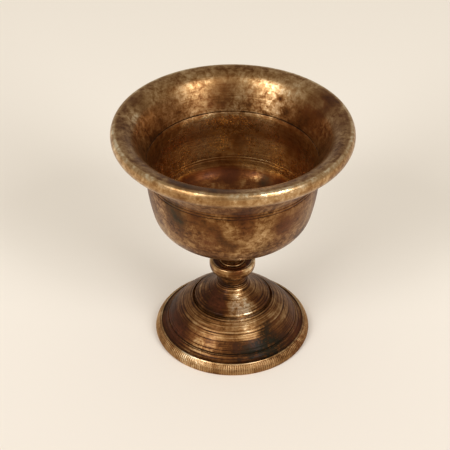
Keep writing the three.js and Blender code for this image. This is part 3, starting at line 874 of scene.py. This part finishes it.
class CUP_OT_foot(Operator):
    """Turn the bell foot and mill the ridges round its band"""

    bl_idname = "cup.foot"
    bl_label = "Foot"

    def execute(self, context):
        size, turning = context.scene.cup_foot, context.scene.cup_turning
        band_top = xy(size.radius - size.ridge_height - size.band_width, size.band_height)
        hollow_end = band_top + xy(-size.hollow_width, size.hollow_height)
        swell_start = hollow_end + xy(-size.ledge, size.ledge)
        swell_end = xy(size.dome_radius + size.groove_width, swell_start.y + size.swell_height)
        groove = xy(size.dome_radius + size.groove_floor, swell_end.y - size.groove_depth)
        dome_foot = xy(size.dome_radius, swell_end.y)
        shoulder = xy(size.dome_radius, swell_end.y + size.dome_rise)
        stem_foot = xy(size.stem_radius + size.stem_ring, size.height - size.stem_length)
        bore = context.scene.cup_collar.bore
        seat = size.height - size.crown

        heel = band_top + xy(size.band_width, size.band_edge - band_top.y)
        face_foot = heel + xy(0, size.band_edge)
        brow = xy(band_top.x + size.band_brow, band_top.y - size.band_brow)
        lean = bearing(brow - face_foot) - 90
        face_corner = step(face_foot.lerp(brow, 0.5), lean, 2 * size.band_bow)
        face = bend(face_foot, face_corner, brow)
        hollow_start = band_top + xy(-size.ledge / 2, -size.ledge / 2)
        hollow_corner = xy(hollow_end.x + size.hollow_lean, hollow_start.y)
        across = bearing(swell_end - swell_start) - 90
        swell_corner = step(swell_start.lerp(swell_end, 0.5), across, 2 * size.swell_fullness)
        slope = 180 - math.degrees(size.dome_slope)
        dome_corner = crossing(shoulder, slope, stem_foot, 90)
        dome_edge = rounded(dome_foot, shoulder, dome_corner, size.dome_edge)
        inner_heel = xy(heel.x - size.standing_ring, 0)
        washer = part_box("washer")[1].x
        inside = [
            xy(washer + size.wall, seat),
            groove + xy(-size.wall / 2, -size.wall),
            hollow_end + xy(-size.wall, -size.wall / 2),
            inner_heel,
        ]
        soft = size.ledge / 3
        lower_ledge = xy(swell_start.x, hollow_end.y)
        fine = turning.fine_row
        brow_rim = band_top + xy(size.band_rim, 0)
        ring_corner = stem_foot + xy(0, size.stem_ring)

        # The first third of the swelling's points is dark, painted shade for its steeper lower part,
        # which catches less of the lamps; the rest is rubbed by hands.
        swell = bend(swell_start, swell_corner, swell_end, 40)[1:]
        rubbed = len(swell) // 3
        swell_lines = [swell_start.y + MM]
        dome = bend(dome_edge[-1], dome_corner, stem_foot, 36)[1:]
        dome_lines = [stem_foot.y - drop * MM for drop in (0.2, 0.9, 1.6)]
        swell_score, dome_score = (0.5 * MM, 0.08 * MM), (0.4 * MM, 0.08 * MM)
        runs = [
            run([inner_heel, *rounded(inner_heel, xy(heel.x, 0), heel, size.band_edge)], 0),
            run(face, 0.08),
            run(rounded(brow, brow_rim, hollow_start, size.band_brow / 3), 0.4),
            # Painted light: the corner where the band meets the hollow is lifted to 0.3, which
            # lightens the shade and the dirt line there.
            run(rounded(band_top, hollow_start + xy(0, soft), hollow_start, soft / 2, 3), 0.3),
            run(bend(hollow_start, hollow_corner, hollow_end - xy(0, soft)), -0.22, 0.12, fine),
            run(rounded(hollow_start, hollow_end, lower_ledge, soft, 4), -0.15),
            run(rounded(hollow_end, lower_ledge, swell_start, soft, 3), -0.6),
            run(rounded(lower_ledge, swell_start, swell_corner, soft, 4), -0.15),
            run(scored(swell[:rubbed], swell_lines, *swell_score), -0.45, 0.1, fine),
            run(swell[rubbed:], -0.15, 0, fine),
            run(rounded(swell_corner, swell_end, groove, soft, 4), -0.15),
            run(rounded(swell_end, groove, dome_foot, soft, 5), 0.3),
            run([dome_foot], -0.3),
            # The dome's rim is dark, painted shade that dulls the lamps' highlight on its rounding.
            run(dome_edge, -0.42),
            run(scored(dome, dome_lines, *dome_score), -0.2, 0, fine),
            run(rounded(stem_foot, ring_corner, shoulder, soft / 2), -0.6),
            run([ring_corner + xy(-size.stem_ring, size.stem_ring)], -0.6),
            run([xy(size.stem_radius, size.height), xy(bore, size.height)], -0.5),
            run([xy(bore, seat), *self.sweep(inside)], -0.3, 0.2, turning.hidden_row),
        ]
        inwards = size.ridge_height - size.ridge_radius
        spine = [step(end, lean, inwards) for end in (face_foot, face_corner, brow)]
        names = ("Foot of ridge", "Bow of ridge", "Head of ridge")
        milled = {
            **{name: (point.x, 0, point.y) for name, point in zip(names, spine)},
            "Ridges": round(2 * math.pi * size.radius / size.ridge_pitch),
            "Ridge radius": size.ridge_radius,
            "Sides": turning.ridge_sides,
            "Steps": turning.ridge_steps,
        }

        # Deep tool rings catch the light as fine arcs, and the metal between them stays brown.
        ringed = brass(
            "cast and turned brass, brown with rubbed crests", FOOT_PATCHES, lines=0.34, matt=0.08
        )
        values = lathe_values(turning.facets, 3.0)
        piece = turn_piece("foot", runs, turning.fine_row, ringed, values, milled)
        return {"FINISHED"}

    @staticmethod
    def sweep(points, count=8):
        """A smooth curve through the points, the same as the solid's inside."""
        ends = [points[0], *points, points[-1]]
        made = []
        for i in range(len(points) - 1):
            p0, p1, p2, p3 = ends[i : i + 4]
            for j in range(count + (i == len(points) - 2)):
                t = j / count
                v0, v1 = (p2 - p0) / 2, (p3 - p1) / 2
                made.append(
                    (2 * t**3 - 3 * t**2 + 1) * p1
                    + (t**3 - 2 * t**2 + t) * v0
                    + (3 * t**2 - 2 * t**3) * p2
                    + (t**3 - t**2) * v1
                )
        return made


class CUP_OT_collar(Operator):
    """Turn the knop collar and the packing ring"""

    bl_idname = "cup.collar"
    bl_label = "Knop collar and packing ring"

    def execute(self, context):
        size, turning = context.scene.cup_collar, context.scene.cup_turning
        base = xy(0, context.scene.cup_foot.height)
        seat = base.y + size.seat
        bead = xy(size.radius - size.bead, seat + size.bead_rise - size.bead)
        widest = base + xy(size.radius, size.belly)
        full = base + xy(size.radius, size.fullness)
        dish_end = xy(size.ring_radius + size.ring_gap, seat)
        dish_start = step(bead, 180, size.bead)
        dish = xy((dish_start.x + dish_end.x) / 2, seat - size.dish)
        foot_edge = base + xy(size.base_radius, 0)
        runs = [
            run([base + xy(size.bore, 0), foot_edge], -0.5),
            run(bend(foot_edge, full, widest, 20)[1:], 0),
            run(arc(bead, size.bead, 0, math.degrees(size.bead_end), 16), 0.35),
            run(bend(dish_start, dish, dish_end, 12), -0.5, 0.3),
            run([xy(size.bore, seat), base + xy(size.bore, 0)], -0.5),
        ]

        # The bead shines where fingers turn the cup, above a dish that keeps its dirt.
        rubbed = brass("turned brass, rubbed on its bead", KNOP_PATCHES, scuff=0.12)
        values = lathe_values(turning.small_facets, 8.0, wobble_size=1 / 3, marks=0.5)
        piece = turn_piece("knop_collar", runs, turning.small_row, rubbed, values)

        rim = size.ring_thickness / 2
        runs = [
            run([xy(size.bore, seat)], -0.4),
            run(arc(xy(size.ring_radius - rim, seat + rim), rim, -90, 90), -0.25),
            run([xy(size.bore, seat + 2 * rim), xy(size.bore, seat)], -0.4),
        ]

        # No hand reaches the joint, so the ring's edge is one thin dull line.
        dull = brass("turned brass, dull in the joint", lines=0.15)
        values = lathe_values(turning.small_facets, 8.0, wobble=0.4, wobble_size=1 / 3, marks=0.5)
        piece = turn_piece("packing_ring", runs, turning.small_row, dull, values)
        return {"FINISHED"}


class CUP_OT_bowl(Operator):
    """Turn the bowl with its neck, cut lines, flare and lip"""

    bl_idname = "cup.bowl"
    bl_label = "Bowl"

    def execute(self, context):
        size, turning = context.scene.cup_bowl, context.scene.cup_turning
        base = size.base
        pole = base + size.neck_length
        waist = xy(size.waist, pole + size.depth)
        top = waist.y + size.flare
        inner_waist = waist - xy(size.wall, 0)
        mouth = xy(size.mouth, top)
        slope = bearing(mouth - inner_waist)
        bore = context.scene.cup_collar.bore
        hole_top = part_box("tie_stud")[1].z + size.hole_gap

        column = xy(size.neck_radius, base + size.neck_column)
        spread_angle = math.degrees(math.asin(size.neck_spread / size.belly))
        sweep_end = step(xy(0, pole + size.belly), spread_angle - 90, size.belly)
        neck = bend(column, crossing(sweep_end, spread_angle, column, 90), sweep_end, 24)

        upper = waist - xy(0, size.outer_drop)
        lower = upper - xy(0, size.outer_spacing)
        outer_end = lower - xy(0, size.line_width)
        inner_end = inner_waist - xy(0, size.inner_bend)
        outer_line = (90, size.line_width, size.line_depth / 2)

        crest_angle = math.degrees(size.lip_crest)
        rise = size.lip_bead * math.sin(size.lip_crest) + size.lip_edge * math.cos(size.lip_crest)
        bead = xy(size.lip - size.lip_bead, top - rise)
        start = -90 - math.degrees(size.lip_undercut)
        under = step(bead, start, size.lip_bead)
        cove = crossing(waist, slope, under, 180)
        edge = step(bead, crest_angle, size.lip_bead)
        crest = step(edge, crest_angle + 90, size.lip_edge)
        top_start = step(crest, 180, size.lip_edge)
        bow = math.degrees(size.flare_bow)
        lip_end = step(mouth, slope - bow, -size.lip_turn)
        lip_top = bend(top_start, mouth, lip_end, 40)[2:]
        inner_line = crossing(inner_waist, slope, xy(0, waist.y + size.inner_rise), 0)
        inner_cut = (slope + bow + 180, size.inner_line, size.inner_line / 3)
        line_end = step(inner_line, slope + bow, -size.line_width)
        flare_corner = crossing(lip_end, slope - bow, inner_line, slope + bow)
        flare = bend(lip_end, flare_corner, inner_line, 24)[1:-3]
        turn_in = crossing(line_end, slope + bow, inner_end, 90)

        # The inside by its points, from the top of the wall to the middle of the floor. Just under
        # the cut line the tone starts low, painted shade that dulls a lamp highlight there. The wall
        # is bright, partly rubbed brass and partly painted light from above; the turn into the floor
        # and the floor's edge are painted dark, painted shade over the lamps' reflection there; and
        # the floor's middle is worn.
        inside = self.body(size, pole, 0, size.floor, inner_end)[::-1]
        ends = (1, 36, 43, 61, 73, 97, len(inside))
        wall, shade, turn, floor_edge, floor_rise, middle = (
            inside[first:last] for first, last in zip(ends, ends[1:])
        )
        floor_lines = [pole + height * MM for height in (18.6, 19.7)]
        floor_score = (0.5 * MM, 0.06 * MM)

        # Hands rub the bead down to an angle below its widest line, and the lip's top from a point
        # of it onwards.
        bead_rubbed, top_rubbed = -60, 18
        runs = [
            run([xy(0, hole_top), xy(bore, hole_top), xy(bore, base)], -0.4),
            run(rounded(xy(bore, base), xy(size.neck_radius, base), column, size.neck_edge), -0.3),
            run(neck, -0.2),
            run(self.body(size, pole, size.neck_spread, 0, outer_end)[1:], -0.08),
            run(cut_line(lower, *outer_line), -0.25),
            run(cut_line(upper, *outer_line), -0.25),
            run(rounded(upper, waist, step(waist, slope, MM), size.waist_bend), -0.1),
            run(rounded(step(cove, slope, -MM), cove, under, size.lip_cove), -0.25),
            run(arc(bead, size.lip_bead, start, bead_rubbed, 10)[1:], -0.1),
            run(arc(bead, size.lip_bead, bead_rubbed, crest_angle, 30)[1:], 0.3),
            run(bend(edge, crest, top_start)[1:], 0.5, 0, turning.fine_row),
            run(lip_top[:top_rubbed], 0),
            run(lip_top[top_rubbed:], 0.1),
            *fade(flare, 0.08, -0.12, 0.08),
            run(cut_line(inner_line, *inner_cut), -0.3),
            *fade(bend(line_end, turn_in, inner_end, 24), 0.25, 0.78, 0.5),
            run(scored(wall, floor_lines, *floor_score), 0.8, 0.5),
            *fade(shade, 0.4, -0.45, 0.45),
            run(turn, -0.45, 0.4),
            run(floor_edge, -0.4, 0.35),
            *fade(floor_rise, -0.4, 0.65, 0.4),
            run(middle, 0.65, 0.5),
        ]

        # Broad soft patches of gold and brown, with hardly any tool rings.
        mottled = brass(
            "cast and turned brass, mottled gold and brown", BOWL_PATCHES, scuff=0.11, lines=0.06
        )
        values = lathe_values(turning.facets, 5.0, wobble=1.5, marks=0.2)
        piece = turn_piece("bowl", runs, turning.row, mottled, values)
        return {"FINISHED"}

    @staticmethod
    def body(size, pole, start_radius, depth, wall_end):
        """The body at a depth in its metal: the belly from a radius outwards, knuckle and wall."""
        lean = math.degrees(size.lean)
        reach = size.belly - size.knuckle
        knuckle_radius = size.waist - size.taper - size.knuckle * math.sin(size.lean)
        turn = math.degrees(math.asin(knuckle_radius / reach))
        start = math.degrees(math.asin(start_radius / (size.belly - depth)))
        belly = xy(0, pole + size.belly)
        knuckle = step(belly, turn - 90, reach)
        wall_foot = step(knuckle, lean - 90, size.knuckle - depth)
        return [
            *arc(belly, size.belly - depth, start - 90, turn - 90, 50),
            *arc(knuckle, size.knuckle - depth, turn - 90, lean - 90, 30)[1:],
            *bend(wall_foot, crossing(wall_foot, lean, wall_end, 90), wall_end, 30)[1:],
        ]


class CUP_OT_fasteners(Operator):
    """Thread the tie stud, and give the washer and the nut their metal"""

    bl_idname = "cup.fasteners"
    bl_label = "Stud, washer and nut"

    def execute(self, context):
        size, turning = context.scene.cup_stud, context.scene.cup_turning
        runs = [
            run([xy(0, size.base), xy(size.radius - size.chamfer, size.base)], -0.2),
            run([xy(size.radius, size.base + size.chamfer)], 0),
            run([xy(size.radius, size.top - size.chamfer)], 0),
            run([xy(size.radius - size.chamfer, size.top), xy(0, size.top)], -0.2),
        ]

        # Hidden and dull: an even brown that only the crests of the thread break.
        screwed = brass("screwed brass rod, dull", mottle=0.2, cloud=0.2, lines=0.05)
        thread = {"Thread pitch": size.pitch, "Thread depth": size.depth}
        values = lathe_values(turning.small_facets // 2, 0.0, wobble=0.0, marks=0.0)
        piece = turn_piece("tie_stud", runs, turning.thread_row, screwed, {**values, **thread})

        # Flat and dull, with the even look of metal that no hand rubs.
        sawn = brass("cut brass, dull, never polished", mottle=0.25, lines=0.0)
        for node in ("washer", "nut"):
            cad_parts[node].data.materials.clear()
            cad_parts[node].data.materials.append(sawn)
        return {"FINISHED"}


class CUP_OT_stage(Operator):
    """Lay the floor and set the camera, the lamps and the room"""

    bl_idname = "cup.stage"
    bl_label = "Stage"

    def execute(self, context):
        scene, stage = context.scene, context.scene.cup_stage
        mesh = bpy.data.meshes.new("floor")
        reach = stage.floor_reach
        corners = [(x * reach, y * reach, 0) for x, y in ((-1, -1), (1, -1), (1, 1), (-1, 1))]
        mesh.from_pydata(corners, [], [(0, 1, 2, 3)])
        mesh.materials.append(pale_floor())
        floor = bpy.data.objects.new("floor", mesh)
        scene.collection.objects.link(floor)

        lens = bpy.data.cameras.new("camera")
        lens.sensor_width = SENSOR
        lens.lens = PHOTO_FOCAL * SENSOR / PHOTO_WIDTH
        camera = bpy.data.objects.new("camera", lens)
        camera.location = (-stage.camera_side, -stage.camera_distance, stage.camera_height)
        camera.rotation_euler = (math.pi / 2 - stage.camera_pitch, 0, 0)
        scene.collection.objects.link(camera)
        scene.camera = camera

        aim = Vector((0, 0, stage.lamp_aim))
        for side, name in ((-1, "left"), (1, "right")):
            lamp = bpy.data.lights.new("soft lamp " + name, "AREA")
            lamp.shape = "RECTANGLE"
            lamp.size, lamp.size_y = stage.lamp_width, stage.lamp_height
            lamp.energy = stage.lamp_power
            lamp.color = stage.lamp_colour[:3]
            level = stage.lamp_distance * math.cos(stage.lamp_rise)
            across, towards = side * math.sin(stage.lamp_turn), -math.cos(stage.lamp_turn)
            rise = stage.lamp_distance * math.sin(stage.lamp_rise)
            place = aim + Vector((level * across, level * towards, rise))
            holder = bpy.data.objects.new(lamp.name, lamp)
            holder.location = place
            holder.rotation_euler = (aim - place).to_track_quat("-Z", "Y").to_euler()
            scene.collection.objects.link(holder)

        world = bpy.data.worlds.new("plain room")
        world.use_nodes = True
        background = world.node_tree.nodes["Background"].inputs
        background["Color"].default_value = stage.room_colour
        background["Strength"].default_value = stage.room
        scene.world = world
        scene.view_settings.view_transform = "Standard"
        return {"FINISHED"}


class CUP_PT_panel(Panel):
    """The cup's operators, in the order in which they are run"""

    bl_label = "Footed cup"
    bl_idname = "CUP_PT_panel"
    bl_space_type = "VIEW_3D"
    bl_region_type = "UI"
    bl_category = "Cup"

    def draw(self, context):
        for operator in OPERATORS:
            self.layout.operator(operator.bl_idname)


# Patches of stain and wear, and a few of painted highlight and painted shade, given one by one: turn
# from the front to the right in degrees, radius, height and size in millimetres, then what it adds
# to the tone, the red stain and the green stain.
FOOT_PATCHES = [
    # Dome
    (-56, 10, 23, 9, -0.35, 0.25),
    (-28, 13, 21, 7, -0.35, 0.2),
    # Golden wedge, partly rubbed brass and partly a painted highlight: the bright patches at turns
    # 13, 12 and 30.
    (13, 12, 22, 9, 0.42),
    (12, 14, 20, 9, 0.3),
    (-14, 13, 21, 6, -0.3, 0.1),
    (42, 12, 22, 6, -0.3, 0.2),
    (65, 15, 19, 6, -0.2, 0.3),
    (30, 14, 20, 5, 0.25),
    (-72, 15, 20, 7, -0.25, 0.1),
    # Milled band
    # The first two patches here are painted highlights, where the lamps' reflections fall on the
    # band.
    (-30, 33, 4, 9, 0.15),
    (18, 34, 3, 6, 0.15),
    (61, 33, 3, 12, -0.3, 0.3),
    (83, 32, 4, 12, -0.25, 0.3),
    # Swelling and hollow
    (-74, 27, 9, 13, -0.3, 0.35),
    (-55, 27, 8, 8, -0.25, 0.3),
    (-107, 28, 6, 10, -0.25, 0.1, 0.1),
    (-30, 24, 13, 13, -0.05),
    # This patch and the next two are painted highlights on the swelling.
    (-34, 28, 8, 9, 0.15),
    (-13, 27, 10, 6, 0.12),
    (16, 25, 12, 5, 0.12),
    (20, 23, 13, 8, 0.12),
    (28, 27, 9, 10, -0.35, 0, 0.16),
    (46, 27, 8, 11, -0.3, 0, 0.18),
    (12, 27, 9, 8, -0.3, 0, 0.2),
    (35, 31, 6, 10, -0.1, -0.2, 0.15),
    (12, 32, 6, 9, -0.1, -0.2, 0.1),
    (42, 22, 14, 6, -0.25, 0, 0.2),
    (57, 23, 13, 9, 0.1, 0.3),
    (1, 26, 10, 7, -0.1, 0.05),
    (0, 29, 6, 8, -0.15, 0.05),
]
KNOP_PATCHES = [
    (5, 10, 37, 4, -0.4, 0.1),
    (22, 9, 38, 3, -0.35, 0.3),
    (-32, 9, 39, 4, -0.35, 0.3),
    (-72, 9, 36, 4, -0.4, 0.1),
    (60, 9, 36, 4, 0.15),
]
BOWL_PATCHES = [
    # Lip and flare
    (-93, 46, 105, 6, -0.08, 0, 0.05),
    (-80, 45, 105, 6, -0.08, 0, 0.05),
    (-100, 40, 98, 11, 0.25),
    (98, 40, 99, 9, 0.22),
    (-116, 45, 105, 9, -0.15, 0, 0.1),
    (-24, 45, 105, 9, -0.25, 0, 0.2),
    (-8, 44, 105, 9, -0.25, 0, 0.15),
    (90, 46, 105, 7, -0.1, 0, 0.05),
    (120, 45, 105, 9, -0.25, 0.2),
    (113, 42, 103, 8, -0.22, 0.2),
    (97, 42, 103, 8, -0.15, 0.1),
    (124, 39, 98, 11, -0.22, 0.2),
    (118, 42, 103, 4, 0.25),
    (-174, 40, 99, 9, -0.2, 0.1),
    # Painted light: lifts a dark reflection at the back of the flare.
    (178, 37, 93, 8, 0.12),
    (148, 39, 98, 2.5, -0.5),
    (141, 37, 94, 3, -0.3),
    (151, 37, 94, 11, 0.2),
    # These two are painted shade, which dulls the lamps' highlights just below the inner cut line.
    (-155, 35, 89, 3.5, -0.4),
    (156, 35, 89, 3.5, -0.3),
    # Belly
    (-42, 36, 82, 8, -0.15, 0, 0.5),
    (-36, 36, 78, 6, -0.12, 0, 0.3),
    (-25, 36, 83, 6, -0.2, 0.2),
    (-13, 36, 79, 6, -0.2, 0.1),
    (-7, 35, 74, 5, -0.25, 0, 0.1),
    (0, 34, 70, 5, -0.25, 0, 0.1),
    (-17, 35, 71, 9, -0.05, 0.25),
    (2, 36, 78, 6, 0.06),
    (22, 35, 74, 9, 0.1),
    (8, 33, 64, 11, 0.12),
    (21, 34, 66, 6, 0, 0, 0.3),
    (9, 36, 78, 6, -0.1, 0.3),
    (33, 35, 77, 7, -0.2, 0.2),
    (44, 36, 80, 12, -0.08, 0.28),
    (7, 36, 86, 7, -0.2, 0.4),
    (-54, 36, 80, 6, 0.15, 0.2),
    # Inside of the wall
    # The bright patches at turns 158, -165 and 178 are painted light on the back of the wall.
    (158, 34, 80, 12, 0.3),
    (-165, 34, 80, 12, 0.15),
    (178, 34, 86, 8, 0.12),
    (85, 34, 78, 15, -0.3, 0.4),
    (-85, 34, 78, 14, -0.2, 0.3),
    (174, 33, 75, 8, -0.25, 0.1),
    (138, 34, 81, 13, -0.25, 0.2),
    (-153, 34, 86, 9, 0.25),
    # Floor
    (-157, 32, 68, 9, -0.25, 0.5),
    (150, 28, 61, 5, -0.2, 0, 0.5),
    (-175, 31, 65, 9, -0.3, 0.2),
    # The dark patches at turns 180, -138 and 130 are painted shade that breaks up the lamps'
    # reflection on the floor, and the two small bright ones at -162 and 159 are painted highlights.
    (180, 29, 60, 6, -0.3, 0.1),
    (-138, 28, 61, 7, -0.25, 0.1),
    (130, 28, 61, 7, -0.25, 0.1),
    (-162, 29, 61, 3, 0.3),
    (159, 29, 61, 3, 0.3),
]

SETTINGS = {
    "cup_foot": CupFootSizes,
    "cup_collar": CupCollarSizes,
    "cup_bowl": CupBowlSizes,
    "cup_stud": CupStudSizes,
    "cup_turning": CupTurning,
    "cup_colours": CupColours,
    "cup_stage": CupStage,
}
OPERATORS = (CUP_OT_foot, CUP_OT_collar, CUP_OT_bowl, CUP_OT_fasteners, CUP_OT_stage)


def register():
    for name, group in SETTINGS.items():
        bpy.utils.register_class(group)
        setattr(bpy.types.Scene, name, PointerProperty(type=group))
    for item in (*OPERATORS, CUP_PT_panel):
        bpy.utils.register_class(item)


def unregister():
    for item in (CUP_PT_panel, *reversed(OPERATORS)):
        bpy.utils.unregister_class(item)
    for name, group in reversed(SETTINGS.items()):
        delattr(bpy.types.Scene, name)
        bpy.utils.unregister_class(group)


def main():
    register()
    bpy.ops.cup.foot()
    bpy.ops.cup.collar()
    bpy.ops.cup.bowl()
    bpy.ops.cup.fasteners()
    bpy.ops.cup.stage()


if __name__ == "__main__":
    main()
